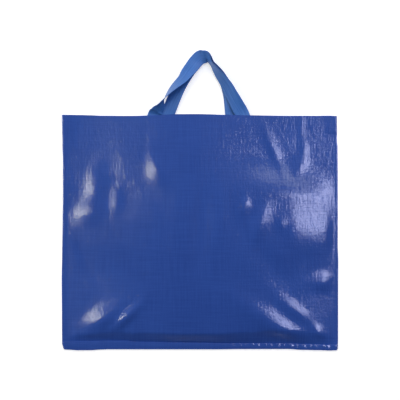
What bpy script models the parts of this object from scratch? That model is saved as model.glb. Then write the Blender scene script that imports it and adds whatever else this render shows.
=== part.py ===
"""Shopping bag of laminated woven polypropylene, empty, lying on its back panel.

X runs across the bag, Y from the bottom seam towards the handles and Z up from
the floor. The origin is on the floor under the middle of the whole bag, handles
included. Lengths are in metres and angles in degrees.

While it is being made, the bag has its bottom edge at Y = 0. The last step
moves every piece back by half of the overall length.
"""

import math

import bmesh
import bpy
from mathutils import Vector

# The bag's laminated sheet
BAG_WIDTH = 0.497
BAG_HEIGHT = 0.421
SHEET = 0.0004
SIDE_SEAM = 0.0095
BOTTOM_SEAM = 0.0125
BOTTOM_SEAM_LAYERS = 6
SEAM_WELD = 0.0041
BOTTOM_WELD = 0.0016
HEM_DEPTH = 0.028
HEM_STEP = 0.0085

# How full the empty bag stands, from its seams up to its front panel
CROWN_BOTTOM = 0.0115
CROWN_MIDDLE = 0.0220
CROWN_MOUTH = 0.0180
SHOULDER = 0.0190
SHOULDER_POWER = 1.6
SIDE_POWER_BOTTOM = 6.0
SIDE_POWER_TOP = 2.2
SIDE_POWER_REACH = 0.3
FOLD_FADE = 2.5

# Handle straps of flat webbing
STRAP_WIDTH = 0.0250
STRAP_THICKNESS = 0.0012
STRAP_EDGE = 0.0003
FOOT_DEPTH = 0.050
FRONT_FEET_SPACING = 0.163
BACK_FEET_SPACING = 0.1165
FOOT_RELIEF = 0.0010
RELIEF_MARGIN = 0.0006
RELIEF_EDGE = 0.0075

# The loop's top, measured from the bag's centre line and its rim
LOOP_TOP_X = 0.0126
LOOP_RISE = 0.1080
LOOP_LEFT = Vector((-0.0162, -0.0088))
LOOP_RIGHT = Vector((0.0124, -0.0131))
LOOP_ROUND = Vector((0.0, 0.0028))
LEG_BOW_LEFT = 0.0062
LEG_BOW_RIGHT = 0.0066

# Where a leg's keys lie, from its foot at the rim (0) to the loop (1), and how far
# the back strap rolls there. A positive roll lifts its outer edge.
LEFT_LEG_SHARES = (0.15, 0.31, 0.47, 0.62, 0.78, 0.90)
LEFT_LEG_ROLLS = (-10.0, -16.0, -21.0, -25.0, -24.0, -14.0)
LOOP_ROLLS = (0.0, 16.0, 34.0, 56.0, 74.0)
RIGHT_LEG_SHARES = (0.92, 0.76, 0.58, 0.48, 0.39, 0.29, 0.16)
RIGHT_LEG_ROLLS = (73.0, 62.0, 46.0, 41.0, 36.0, 29.0, 16.0)

# Front strap, left leg: its roll, its distance aside of the back strap as a share
# of ASIDE_SPACE, and its lift as a share of its height at the rim
TURN_OVER = ((66.0, 1.0, 0.35), (95.0, 0.3, 0.0), (116.0, 0.0, 0.0), (134.0, 0.0, 0.0))

# Front strap, right leg: how far it is slid out from the back strap, as a share of
# the way to its own foot, and its lift as a share of its height at the rim
SLIDE_OUT = ((0.20, 0.0), (0.42, 0.0), (0.70, 0.12))

# Clearances
GAP = 0.0003
FLOOR_GAP = 0.0006
FOOT_SLACK = 0.0001
STACK_SPACE = 0.0018
ASIDE_SPACE = 0.0020

# Fineness of the model
COLUMNS = 40
ROWS = 30
SHOULDER_ROWS = 6
SHOULDER_CROWDING = 1.4
NEAREST_LINES = 0.005
HEM_ROWS = 5
STRAP_STEPS = 4
FLAT_ANGLE = 0.05
CREASE_ANGLE = 35.0
SLOPE_STEP = 0.0005
STEEPEST = 2.0
FOOT_SAMPLES = 10

# Soft folds of the front panel: centre as shares of half the panel's width and of
# the bag's height, half length, half width, heading of the length from +X, height
FOLDS = (
    (-0.176, 0.511, 0.080, 0.017, 92.0, 0.0011),
    (0.008, 0.534, 0.075, 0.016, 86.0, -0.0016),
    (0.151, 0.558, 0.060, 0.014, 90.0, 0.0009),
    (-0.774, 0.166, 0.044, 0.013, 37.0, 0.0032),
    (-0.573, 0.138, 0.030, 0.010, 42.0, 0.0018),
    (0.636, 0.105, 0.048, 0.012, -38.0, 0.0030),
    (0.770, 0.171, 0.050, 0.011, -46.0, 0.0024),
    (0.912, 0.295, 0.030, 0.010, 8.0, 0.0018),
    (0.485, 0.582, 0.040, 0.014, 76.0, 0.0020),
    (0.586, 0.796, 0.055, 0.013, -66.0, 0.0020),
    (0.787, 0.819, 0.075, 0.014, 86.0, 0.0024),
    (-0.828, 0.653, 0.060, 0.016, 66.0, 0.0026),
    (-0.628, 0.594, 0.050, 0.012, -8.0, 0.0018),
    (-0.368, 0.772, 0.040, 0.013, -76.0, 0.0020),
    (-0.586, 0.796, 0.045, 0.014, -84.0, 0.0013),
    (-0.858, 0.392, 0.060, 0.015, -58.0, -0.0022),
    (0.502, 0.380, 0.070, 0.018, -52.0, -0.0018),
)


def clamp(value, low, high):
    return max(low, min(high, value))


def ease(value):
    """Runs smoothly from 0 to 1 while the value does."""
    t = clamp(value, 0.0, 1.0)
    return t * t * (3.0 - 2.0 * t)


def mix(a, b, share):
    return a + (b - a) * share


def linear_colour(red, green, blue):
    """An sRGB colour, each part from 0 to 255, as linear values."""
    parts = []
    for channel in (red, green, blue):
        c = channel / 255.0
        parts.append(c / 12.92 if c <= 0.04045 else ((c + 0.055) / 1.055) ** 2.4)
    return (parts[0], parts[1], parts[2], 1.0)


def make_material(name, colour, roughness, coat):
    material = bpy.data.materials.new(name)
    material.use_nodes = True
    shader = material.node_tree.nodes["Principled BSDF"]
    shader.inputs["Base Color"].default_value = colour
    shader.inputs["Roughness"].default_value = roughness
    shader.inputs["Metallic"].default_value = 0.0
    shader.inputs["Coat Weight"].default_value = coat
    material.diffuse_color = colour
    return material


def half_inside():
    """Half of the bag's width between its side seams."""
    return BAG_WIDTH / 2.0 - SIDE_SEAM


def crown(y):
    """Height of the panel's middle line over its seams, by a curve through three heights."""
    t = clamp((y - BOTTOM_SEAM) / (BAG_HEIGHT - BOTTOM_SEAM), 0.0, 1.0)
    bottom = CROWN_BOTTOM * (1.0 - t) * (1.0 - 2.0 * t)
    middle = CROWN_MIDDLE * 4.0 * t * (1.0 - t)
    mouth = CROWN_MOUTH * t * (2.0 * t - 1.0)
    return bottom + middle + mouth


def fullness(x, y):
    """Share of the crown that the panel keeps towards the side seams."""
    reach = (y - BOTTOM_SEAM) / (SIDE_POWER_REACH * BAG_HEIGHT)
    power = mix(SIDE_POWER_BOTTOM, SIDE_POWER_TOP, ease(reach))
    return 1.0 - min(1.0, abs(x) / half_inside()) ** power


def shoulder(y):
    """The steep rise of the panel out of the bottom seam."""
    t = clamp((y - BOTTOM_SEAM) / SHOULDER, 0.0, 1.0)
    return 1.0 - (1.0 - t) ** SHOULDER_POWER


def hem_share(y):
    """0 on the single sheet and 1 where the hem doubles it."""
    return ease((y - (BAG_HEIGHT - HEM_DEPTH)) / HEM_STEP + 1.0)


def fold_height(x, y):
    """The soft folds, which die out at the seams."""
    total = 0.0
    for share_x, share_y, length, width, heading, height in FOLDS:
        turn = math.radians(heading)
        from_x = x - share_x * half_inside()
        from_y = y - share_y * BAG_HEIGHT
        along = from_x * math.cos(turn) + from_y * math.sin(turn)
        across = from_y * math.cos(turn) - from_x * math.sin(turn)
        total += height * math.exp(-(along / length) ** 2 - (across / width) ** 2)
    fade = ease(FOLD_FADE * fullness(x, y)) * ease(shoulder(y))
    return total * fade


def foot_relief(x, y):
    """The strap's feet press the front panel out a little."""
    depth = ease((y - (BAG_HEIGHT - FOOT_DEPTH)) / STRAP_WIDTH + 1.0)
    offset = abs(abs(x) - FRONT_FEET_SPACING / 2.0)
    share = 1.0 - ease((offset - STRAP_WIDTH / 2.0 - RELIEF_MARGIN) / RELIEF_EDGE)
    return FOOT_RELIEF * depth * share


def front_height(x, y):
    """Outer face of the front panel over the floor."""
    if y <= BOTTOM_SEAM:
        return BOTTOM_SEAM_LAYERS * SHEET
    layers = 2.0 + 2.0 * hem_share(y)
    rise = crown(y) * fullness(x, y) * shoulder(y)
    return layers * SHEET + rise + fold_height(x, y) + foot_relief(x, y) * fullness(x, y)


def ceiling_height(x, y):
    """Inner face of the front panel, one sheet in, or two where it is hemmed.

    The sheet's thickness is measured square to the panel, so it is taller where
    the panel is steep.
    """
    y = min(y, BAG_HEIGHT)
    height = front_height(x, y)
    slope_x = (front_height(x + SLOPE_STEP, y) - front_height(x - SLOPE_STEP, y)) / (2.0 * SLOPE_STEP)
    slope_y = min((height - front_height(x, y - SLOPE_STEP)) / SLOPE_STEP, STEEPEST)
    stretch = math.sqrt(1.0 + slope_x ** 2 + slope_y ** 2)
    return height - SHEET * (1.0 + hem_share(y)) * stretch


def inner_floor(y):
    """Inner face of the back panel."""
    return SHEET * (1.0 + hem_share(y))


def spread(start, end, count):
    """Count + 1 even steps from start to end."""
    return [mix(start, end, i / count) for i in range(count + 1)]


def slab(name, xs, ys, top, bottom):
    """A closed solid over a grid of lines, between two heights given by functions."""
    columns = len(xs) - 1
    rows = len(ys) - 1
    mesh = bpy.data.meshes.new(name)
    work = bmesh.new()
    bmesh.ops.create_grid(work, x_segments=columns, y_segments=rows, size=0.5)
    lower = bmesh.ops.duplicate(work, geom=work.verts[:] + work.edges[:] + work.faces[:])
    lower_verts = [item for item in lower["geom"] if isinstance(item, bmesh.types.BMVert)]
    lower_faces = [item for item in lower["geom"] if isinstance(item, bmesh.types.BMFace)]
    is_lower = set(lower_verts)
    for vert in work.verts:
        x = xs[round((vert.co.x + 0.5) * columns)]
        y = ys[round((vert.co.y + 0.5) * rows)]
        height = bottom if vert in is_lower else top
        vert.co = (x, y, height(x, y))
    bmesh.ops.reverse_faces(work, faces=lower_faces)
    inner_edges = {edge for face in lower_faces for edge in face.edges if not edge.is_boundary}
    bmesh.ops.dissolve_limit(
        work,
        angle_limit=math.radians(FLAT_ANGLE),
        verts=[vert for vert in lower_verts if not vert.is_boundary],
        edges=list(inner_edges),
    )
    rims = [edge for edge in work.edges if edge.is_boundary]
    bmesh.ops.bridge_loops(work, edges=rims)
    bmesh.ops.recalc_face_normals(work, faces=work.faces)
    work.to_mesh(mesh)
    work.free()
    return bpy.data.objects.new(name, mesh)


def merged(lines, extra, nearest):
    """Lines with the extra ones put in, and without those that lie too near to them."""
    kept = [line for line in lines if min(abs(line - other) for other in extra) > nearest]
    return sorted(kept + extra)


def body_rows():
    """Lines across the bag: the bottom seam, its folded edge, the shoulder and the panel."""
    fold_edge = BOTTOM_SEAM + 2.0 * SHEET
    end_of_shoulder = BOTTOM_SEAM + SHOULDER
    shares = [i / SHOULDER_ROWS for i in range(1, SHOULDER_ROWS)]
    curve = [BOTTOM_SEAM + SHOULDER * share ** SHOULDER_CROWDING for share in shares]
    panel = spread(end_of_shoulder, BAG_HEIGHT, ROWS)
    hem = [BAG_HEIGHT - HEM_DEPTH - HEM_STEP, BAG_HEIGHT - HEM_DEPTH]
    feet = [BAG_HEIGHT - FOOT_DEPTH - STRAP_WIDTH / 2.0]
    panel = merged(panel, hem + feet, NEAREST_LINES)
    return [0.0, BOTTOM_SEAM, fold_edge] + curve + panel


def body_columns():
    """Lines along the bag: its side seams, the strap's feet and the panel between."""
    inner = spread(-half_inside(), half_inside(), COLUMNS)
    flat = STRAP_WIDTH / 2.0 + RELIEF_MARGIN
    feet = []
    for side in (-1.0, 1.0):
        middle = side * FRONT_FEET_SPACING / 2.0
        feet += [middle + step for step in (-flat - RELIEF_EDGE, -flat, 0.0, flat, flat + RELIEF_EDGE)]
    inner = merged(inner, feet, NEAREST_LINES)
    return [-BAG_WIDTH / 2.0] + inner + [BAG_WIDTH / 2.0]


def make_bag(parts, cutters, material):
    """The bag: one sheet folded and seamed, with its mouth open at the top."""
    bag = slab("bag_body", body_columns(), body_rows(), front_height, lambda x, y: 0.0)
    parts.objects.link(bag)
    bag.data.materials.append(material)

    edge = half_inside() - SEAM_WELD
    inner_xs = [x for x in body_columns() if abs(x) < edge]
    hem_start = BAG_HEIGHT - HEM_DEPTH - HEM_STEP
    lower_rows = [y for y in body_rows() if BOTTOM_SEAM + BOTTOM_WELD < y < hem_start]
    hem_rows = spread(hem_start, BAG_HEIGHT, HEM_ROWS)
    past_mouth = BAG_HEIGHT + HEM_DEPTH
    inside = slab(
        "inside_cutter",
        [-edge] + inner_xs + [edge],
        lower_rows + hem_rows + [past_mouth],
        ceiling_height,
        lambda x, y: inner_floor(min(y, BAG_HEIGHT)),
    )
    inside.hide_render = True
    inside.display_type = "WIRE"
    cutters.objects.link(inside)

    hollow = bag.modifiers.new("inside", "BOOLEAN")
    hollow.operation = "DIFFERENCE"
    hollow.solver = "EXACT"
    hollow.object = inside
    bag.data.shade_smooth()
    bag.data.set_sharp_from_angle(angle=math.radians(CREASE_ANGLE))
    return bag


def steady_slope(before, here, after):
    """Slope through a key that never overshoots it."""
    rise_in = here - before
    rise_out = after - here
    if rise_in * rise_out <= 0.0:
        return 0.0
    steepest = 3.0 * min(abs(rise_in), abs(rise_out))
    return clamp((rise_in + rise_out) / 2.0, -steepest, steepest)


def smooth_path(keys, steps):
    """A smooth curve through the keys, each a Vector of any length."""
    last = len(keys) - 1
    slopes = []
    for i, key in enumerate(keys):
        before = keys[max(i - 1, 0)]
        after = keys[min(i + 1, last)]
        slopes.append(Vector([steady_slope(*three) for three in zip(before, key, after)]))
    points = []
    for i in range(last):
        for k in range(steps):
            t = k / steps
            points.append(
                keys[i] * (2 * t ** 3 - 3 * t ** 2 + 1)
                + slopes[i] * (t ** 3 - 2 * t ** 2 + t)
                + keys[i + 1] * (3 * t ** 2 - 2 * t ** 3)
                + slopes[i + 1] * (t ** 3 - t ** 2)
            )
    points.append(keys[last].copy())
    return points


def outward(keys, i):
    """Level unit vector square to a path of keys, towards the outside of the loop."""
    before = keys[max(i - 1, 0)]
    after = keys[min(i + 1, len(keys) - 1)]
    way = Vector((after[0] - before[0], after[1] - before[1])).normalized()
    return Vector((-way.y, way.x))


def half_rise(roll):
    """Height from a rolled strap's middle to its lowest point."""
    turn = math.radians(roll)
    across = STRAP_WIDTH / 2.0 * abs(math.sin(turn))
    return across + STRAP_THICKNESS / 2.0 * abs(math.cos(turn))


def leg_points(foot, neck, bow, shares):
    """Points of a leg from its foot at the rim to the loop's neck, bowed outwards."""
    run = neck - foot
    side = Vector((-run.y, run.x)).normalized()
    return [foot + run * s + side * bow * math.sin(math.pi * s) for s in shares]


def foot_heights(x):
    """Heights of the foot's middle at the rim and at its inner end, under the front panel.

    The foot lies straight along a line that stays clear of the panel's inner
    face all over.
    """
    half = STRAP_WIDTH / 2.0
    at_rim = ceiling_height(x, BAG_HEIGHT)
    at_end = ceiling_height(x, BAG_HEIGHT - FOOT_DEPTH)
    drop = 0.0
    for y in spread(BAG_HEIGHT - FOOT_DEPTH, BAG_HEIGHT, FOOT_SAMPLES):
        line = mix(at_end, at_rim, (y - BAG_HEIGHT + FOOT_DEPTH) / FOOT_DEPTH)
        lows = [ceiling_height(x + half * k, y) for k in (-1.0, -0.5, 0.0, 0.5, 1.0)]
        drop = max(drop, line - min(lows))
    below = drop + GAP + FOOT_SLACK + STRAP_THICKNESS / 2.0
    return at_rim - below, at_end - below


def back_strap_keys():
    """Keys (x, y, z, roll) of the strap that is fixed to the back panel.

    It lies on the inside of the back panel and then on the floor. Its left leg
    leans on its outer edge, and its loop and right leg on their inner edge.
    """
    rim = BAG_HEIGHT
    top = Vector((LOOP_TOP_X, rim + LOOP_RISE))
    left_foot = Vector((-BACK_FEET_SPACING / 2.0, rim))
    right_foot = Vector((BACK_FEET_SPACING / 2.0, rim))
    neck_left = top + LOOP_LEFT
    neck_right = top + LOOP_RIGHT
    half_foot = Vector((0.0, FOOT_DEPTH / 2.0))

    plan = [left_foot - 2.0 * half_foot, left_foot - half_foot, left_foot]
    plan += leg_points(left_foot, neck_left, LEG_BOW_LEFT, LEFT_LEG_SHARES)
    round_left = top + LOOP_LEFT / 2.0 + LOOP_ROUND
    round_right = top + LOOP_RIGHT / 2.0 + LOOP_ROUND
    plan += [neck_left, round_left, top, round_right, neck_right]
    plan += leg_points(right_foot, neck_right, -LEG_BOW_RIGHT, RIGHT_LEG_SHARES)
    plan += [right_foot, right_foot - half_foot, right_foot - 2.0 * half_foot]
    rolls = (0.0, 0.0, 0.0) + LEFT_LEG_ROLLS + LOOP_ROLLS + RIGHT_LEG_ROLLS + (0.0, 0.0, 0.0)

    keys = []
    for point, roll in zip(plan, rolls):
        inside = ease((rim + STRAP_WIDTH / 3.0 - point.y) / (STRAP_WIDTH / 3.0))
        rest = mix(FLOOR_GAP, inner_floor(rim) + GAP, inside)
        keys.append(Vector((point.x, point.y, rest + half_rise(roll), roll)))
    return keys


def turned_over(under, out, roll, aside, lift):
    """Key of the front strap where it stands beside the back strap and folds over it.

    It turns about the back strap's outer edge, a little aside of it, and is
    lifted where it comes down from the rim.
    """
    apart = STRAP_THICKNESS + STACK_SPACE
    lean = math.radians(roll)
    turn = math.radians(under[3])
    half = STRAP_WIDTH / 2.0
    low_edge = Vector((under[0], under[1])) + out * (half * math.cos(turn) + aside)
    low_z = under[2] + half * math.sin(turn) + lift
    place = low_edge + out * (math.cos(lean) * half + math.sin(lean) * apart)
    height = low_z + math.sin(lean) * half - math.cos(lean) * apart
    return Vector((place.x, place.y, height, roll))


def laid_over(under, out, slide, lift):
    """Key of the front strap where it lies along the back strap, slid outwards on it."""
    apart = STRAP_THICKNESS + STACK_SPACE
    turn = math.radians(under[3])
    place = Vector((under[0], under[1])) + out * (slide - math.sin(turn) * apart)
    height = under[2] + slide * math.tan(turn) + math.cos(turn) * apart + lift
    return Vector((place.x, place.y, height, under[3] + 180.0))


def front_strap_keys(back):
    """Keys (x, y, z, roll) of the strap that is fixed to the front panel.

    Its left leg turns over beside the back strap and lies on it from there on,
    round the loop and down to its right foot.
    """
    rim = BAG_HEIGHT
    left_x = -FRONT_FEET_SPACING / 2.0
    right_x = FRONT_FEET_SPACING / 2.0
    spread_out = right_x - BACK_FEET_SPACING / 2.0
    inside_ys = (rim - FOOT_DEPTH, rim - FOOT_DEPTH / 2.0, rim)

    left_rim, left_end = foot_heights(left_x)
    left_zs = (left_end, (left_end + left_rim) / 2.0, left_rim)
    keys = [Vector((left_x, y, z, 0.0)) for y, z in zip(inside_ys, left_zs)]
    turning = len(keys)
    for index, (roll, aside, lift) in enumerate(TURN_OVER, turning):
        out = outward(back, index)
        keys.append(turned_over(back[index], out, roll, aside * ASIDE_SPACE, lift * left_rim))

    right_rim, right_end = foot_heights(right_x)
    first_slid = len(back) - len(inside_ys) - len(SLIDE_OUT)
    for index in range(turning + len(TURN_OVER), first_slid):
        keys.append(laid_over(back[index], outward(back, index), 0.0, 0.0))
    for index, (slide, lift) in enumerate(SLIDE_OUT, first_slid):
        out = outward(back, index)
        keys.append(laid_over(back[index], out, slide * spread_out, lift * right_rim))
    right_zs = (right_rim, (right_end + right_rim) / 2.0, right_end)
    keys += [Vector((right_x, y, z, 180.0)) for y, z in zip(reversed(inside_ys), right_zs)]
    return keys


def strap_section(guides):
    """Outline of the webbing's section, with its four corners cut."""
    half_w = STRAP_WIDTH / 2.0
    half_t = STRAP_THICKNESS / 2.0
    corners = []
    for sign_x, sign_y in ((1, 1), (1, -1), (-1, -1), (-1, 1)):
        flat = (sign_x * (half_w - STRAP_EDGE), sign_y * half_t)
        side = (sign_x * half_w, sign_y * (half_t - STRAP_EDGE))
        corners += [flat, side] if sign_x * sign_y > 0 else [side, flat]
    curve = bpy.data.curves.new("strap_section", "CURVE")
    curve.dimensions = "2D"
    spline = curve.splines.new("POLY")
    spline.points.add(len(corners) - 1)
    for point, (x, y) in zip(spline.points, corners):
        point.co = (x, y, 0.0, 1.0)
    spline.use_cyclic_u = True
    section = bpy.data.objects.new("strap_section", curve)
    section.hide_render = True
    section.display_type = "WIRE"
    guides.objects.link(section)
    return section


def make_strap(name, keys, section, parts, material):
    """One strap of flat webbing, its section carried along the keys and rolled."""
    points = smooth_path(keys, STRAP_STEPS)
    curve = bpy.data.curves.new(name, "CURVE")
    curve.dimensions = "3D"
    curve.twist_mode = "Z_UP"
    curve.bevel_mode = "OBJECT"
    curve.bevel_object = section
    curve.use_fill_caps = True
    spline = curve.splines.new("POLY")
    spline.points.add(len(points) - 1)
    for point, key in zip(spline.points, points):
        point.co = (key[0], key[1], key[2], 1.0)
        point.tilt = math.radians(key[3])
    strap = bpy.data.objects.new(name, curve)
    strap.data.materials.append(material)
    parts.objects.link(strap)
    return strap


def furthest_y(strap):
    """The strap's furthest point from the bag's bottom edge."""
    bpy.context.view_layer.update()
    evaluated = strap.evaluated_get(bpy.context.evaluated_depsgraph_get())
    furthest = max(vert.co.y for vert in evaluated.to_mesh().vertices)
    evaluated.to_mesh_clear()
    return furthest


def main():
    for old in list(bpy.data.objects):
        bpy.data.objects.remove(old, do_unlink=True)
    parts = bpy.data.collections.new("shopping_bag")
    cutters = bpy.data.collections.new("cutters_and_guides")
    bpy.context.scene.collection.children.link(parts)
    bpy.context.scene.collection.children.link(cutters)

    laminate = make_material("laminated_polypropylene", linear_colour(40, 75, 155), 0.22, 0.5)
    webbing = make_material("polypropylene_webbing", linear_colour(74, 118, 184), 0.55, 0.0)

    bag = make_bag(parts, cutters, laminate)
    section = strap_section(cutters)
    back = back_strap_keys()
    back_strap = make_strap("back_strap", back, section, parts, webbing)
    front_strap = make_strap("front_strap", front_strap_keys(back), section, parts, webbing)

    middle = max(furthest_y(back_strap), furthest_y(front_strap)) / 2.0
    cutters.objects["inside_cutter"].location.y -= middle
    for piece in (bag, back_strap, front_strap):
        piece.location.y -= middle


main()
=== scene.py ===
"""Looks of an empty shopping bag of laminated woven polypropylene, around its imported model.

The bag lies on its back panel on a white floor, and the camera looks straight down
on its front panel. X runs across the bag, Y towards the handles and Z up. Lengths
are in metres and angles in degrees. While the bag is shaped, its bottom edge is at
Y = 0, and lift_into_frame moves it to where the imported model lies.
"""

import math

import bpy
import numpy as np
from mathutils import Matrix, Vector


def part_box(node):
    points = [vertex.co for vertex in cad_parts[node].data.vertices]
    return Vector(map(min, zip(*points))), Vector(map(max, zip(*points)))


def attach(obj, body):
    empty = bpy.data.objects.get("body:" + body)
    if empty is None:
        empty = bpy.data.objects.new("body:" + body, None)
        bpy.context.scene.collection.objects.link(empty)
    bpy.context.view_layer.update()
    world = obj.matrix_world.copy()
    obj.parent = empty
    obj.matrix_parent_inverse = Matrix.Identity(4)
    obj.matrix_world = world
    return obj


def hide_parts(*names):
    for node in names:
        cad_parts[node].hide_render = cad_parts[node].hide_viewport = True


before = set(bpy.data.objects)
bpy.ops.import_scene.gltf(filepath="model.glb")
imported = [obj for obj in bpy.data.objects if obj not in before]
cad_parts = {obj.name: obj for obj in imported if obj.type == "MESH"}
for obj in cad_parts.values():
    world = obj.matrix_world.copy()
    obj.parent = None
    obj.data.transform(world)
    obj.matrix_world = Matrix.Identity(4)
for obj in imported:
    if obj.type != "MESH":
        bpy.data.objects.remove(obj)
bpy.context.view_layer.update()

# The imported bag: its corners, its size and the place of its bottom edge
BAG_LOW, BAG_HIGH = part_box("bag_body")
BAG_WIDTH = BAG_HIGH.x - BAG_LOW.x
BAG_HEIGHT = BAG_HIGH.y - BAG_LOW.y
BOTTOM_Y = BAG_LOW.y

# The bag's laminated sheet: its thickness and its two side seams
SHEET = 0.0004
LEFT_SEAM = 0.0095
RIGHT_SEAM = 0.0055

# The hem, how far it takes to thicken, and how far its thickness shows from a side seam
HEM_DEPTH = 0.028
HEM_STEP = 0.0085
HEM_SHOWS = 0.020

# The bottom seam's plies, and how far the weld reaches from the seams into the bag
SEAM_LAYERS = 6
SEAM_WELD = 0.0041

# The side folds: their width, the front's height at their edge as a share of its whole
# height, and the back's height there in thicknesses of the sheet
SIDE_FOLD = 0.0015
FOLD_FRONT = 0.62
FOLD_BACK = 0.3

# The least height of the inside, floor included, in thicknesses of the sheet
LEAST_INSIDE = 1.6

# The front panel's fullness: its height at the bottom, half way and at the mouth, how
# squarely it falls to the side seams, how soon its folds reach their height, and how
# steeply it rises from the bottom seam
CROWN_BOTTOM = 0.0102
CROWN_MIDDLE = 0.0220
CROWN_MOUTH = 0.0174
SIDE_POWER_BOTTOM = 6.0
LEFT_POWER_TOP = 2.2
RIGHT_POWER_TOP = 2.5
SIDE_POWER_REACH = 0.3
FOLD_FADE = 6.0
SHOULDER_POWER = 1.12

# How much the panel leaves each side seam flat, like a bell, from the bottom up, and
# how much its right side falls evenly, like a tent, which has a rounded top, sags and
# starts lower towards the seam
LEFT_BELL = ((0.0, 0.5), (0.120, 0.5), (0.195, 0.35), (0.225, 0.35), (0.285, 0.85), (0.421, 1.0))
RIGHT_BELL = ((0.0, 0.3), (0.120, 0.3), (0.190, 0.0), (0.421, 0.0))
RIGHT_TENT = ((0.0, 0.0), (0.280, 0.0), (0.350, 1.0), (0.421, 1.0))
TENT_ROUND = 0.2
TENT_SAG = 0.5
TENT_LEAN = 0.03
TENT_LEAN_POWER = 4

# The bottom seam's visible depth and the shoulder's width, along the bag
SEAM_DEPTHS = ((-0.2485, 0.0140), (-0.215, 0.0158), (-0.132, 0.0155), (-0.120, 0.0138),
               (-0.020, 0.0120), (0.070, 0.0103), (0.2485, 0.0098))
SHOULDER_WIDTHS = ((-0.2485, 0.008), (-0.205, 0.0135), (-0.150, 0.0165), (-0.125, 0.0160),
                   (-0.098, 0.0180), (-0.064, 0.0175), (-0.060, 0.0165), (0.020, 0.0175),
                   (0.090, 0.022), (0.135, 0.027), (0.175, 0.024), (0.225, 0.019), (0.2485, 0.012))

# How far the bag's real edges stray from straight: inwards at the sides, upwards at
# the rim and the bottom edge. The first number is the place along the edge.
LEFT_EDGE = ((0.0, 0.0042), (0.003, 0.0024), (0.012, 0.0003), (0.060, 0.0), (0.125, -0.0004),
             (0.175, 0.0003), (0.220, 0.0010), (0.265, 0.0015), (0.340, 0.0015),
             (0.372, 0.0008), (0.415, -0.0002), (0.421, -0.0003))
RIGHT_EDGE = ((0.0, 0.0016), (0.004, 0.0006), (0.020, 0.0), (0.110, 0.0), (0.160, -0.0003),
              (0.186, 0.0005), (0.240, 0.0003), (0.320, 0.0003), (0.362, 0.0006),
              (0.376, 0.0018), (0.421, 0.0022))
RIM_EDGE = ((-0.2485, 0.0012), (-0.220, 0.0009), (-0.198, 0.0003), (-0.176, -0.0007),
            (-0.122, -0.0014), (-0.090, -0.0008), (-0.036, 0.0014), (0.0, 0.0014),
            (0.018, 0.0010), (0.040, 0.0003), (0.094, -0.0004), (0.150, -0.0009),
            (0.205, -0.0008), (0.234, -0.0004), (0.2485, -0.0010))
BOTTOM_EDGE = ((-0.2485, 0.0), (-0.241, -0.0004), (-0.220, -0.0014), (-0.198, -0.0013),
               (-0.176, -0.0001), (-0.165, 0.0003), (0.030, 0.0003), (0.072, 0.0007),
               (0.160, 0.0008), (0.182, -0.0006), (0.212, -0.0012), (0.236, -0.0019),
               (0.2485, -0.0014))
EDGE_REACH = 0.045

# Soft folds of the front panel: centre as shares of FOLD_SPAN and of the bag's
# height, half length, half width, heading of the length from +X, height
FOLD_SPAN = 0.239
FOLDS = (
    (-0.176, 0.511, 0.080, 0.017, 92.0, 0.0009),
    (0.008, 0.534, 0.075, 0.016, 86.0, -0.0024),
    (0.151, 0.558, 0.060, 0.014, 90.0, 0.0010),
    (0.575, 0.0980, 0.076, 0.020, -34.0, 0.0056),
    (0.7200, 0.1640, 0.034, 0.011, -38.0, 0.0022),
    (0.896, 0.070, 0.015, 0.009, -50.0, 0.0024),
    (0.960, 0.288, 0.034, 0.014, 2.0, 0.0030),
    (0.445, 0.530, 0.034, 0.014, 75.0, 0.0028),
    (0.331, 0.610, 0.018, 0.008, 78.0, 0.0021),
    (0.610, 0.5345, 0.012, 0.008, 80.0, 0.0012),
    (0.545, 0.860, 0.045, 0.008, -68.0, 0.0014),
    (0.870, 0.480, 0.045, 0.034, 0.0, 0.0024),
    (0.700, 0.515, 0.040, 0.020, 90.0, 0.0014),
    (0.781, 0.852, 0.015, 0.007, 88.0, 0.0010),
    (0.750, 0.785, 0.015, 0.012, 70.0, 0.0018),
    (0.762, 0.950, 0.034, 0.005, 93.0, 0.0004),
    (-0.310, 0.7650, 0.030, 0.015, -74.0, 0.0027),
    (-0.410, 0.880, 0.040, 0.010, 86.0, -0.0006),
    (-0.575, 0.800, 0.036, 0.016, 88.0, 0.0006),
    (-0.805, 0.665, 0.044, 0.021, 80.0, 0.0028),
    (-0.622, 0.640, 0.018, 0.011, 80.0, 0.0020),
    (-0.800, 0.587, 0.034, 0.018, 0.0, 0.0012),
    (-0.728, 0.128, 0.040, 0.019, 35.0, 0.0050),
    (-0.5535, 0.1380, 0.030, 0.009, 44.0, 0.0046),
    (-0.858, 0.392, 0.060, 0.015, -58.0, -0.0018),
    (0.502, 0.380, 0.070, 0.018, -52.0, -0.0014),
)

# Handle straps of flat webbing, and how square their selvedges are
STRAP_WIDTH = 0.0250
STRAP_THICKNESS = 0.0012
SELVEDGE_POWER = 4.0

# A foot's keys are its place across the bag and its roll, which turns the strap about
# its own length, at its inner end, half way and at the rim
FOOT_DEPTH = 0.050
FOOT_YS = (BAG_HEIGHT - FOOT_DEPTH, BAG_HEIGHT - FOOT_DEPTH / 2.0, BAG_HEIGHT)
FRONT_LEFT_FOOT = ((-0.0915, 0.0), (-0.0880, 3.0), (-0.0816, 14.0))
FRONT_RIGHT_FOOT = ((0.0860, 180.0), (0.0833, 180.0), (0.0766, 180.0))
BACK_LEFT_FOOT = ((-0.0650, 0.0), (-0.0628, 0.0), (-0.0585, 0.0))
BACK_RIGHT_FOOT = ((0.0590, 0.0), (0.0585, 0.0), (0.0578, 0.0))

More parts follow.
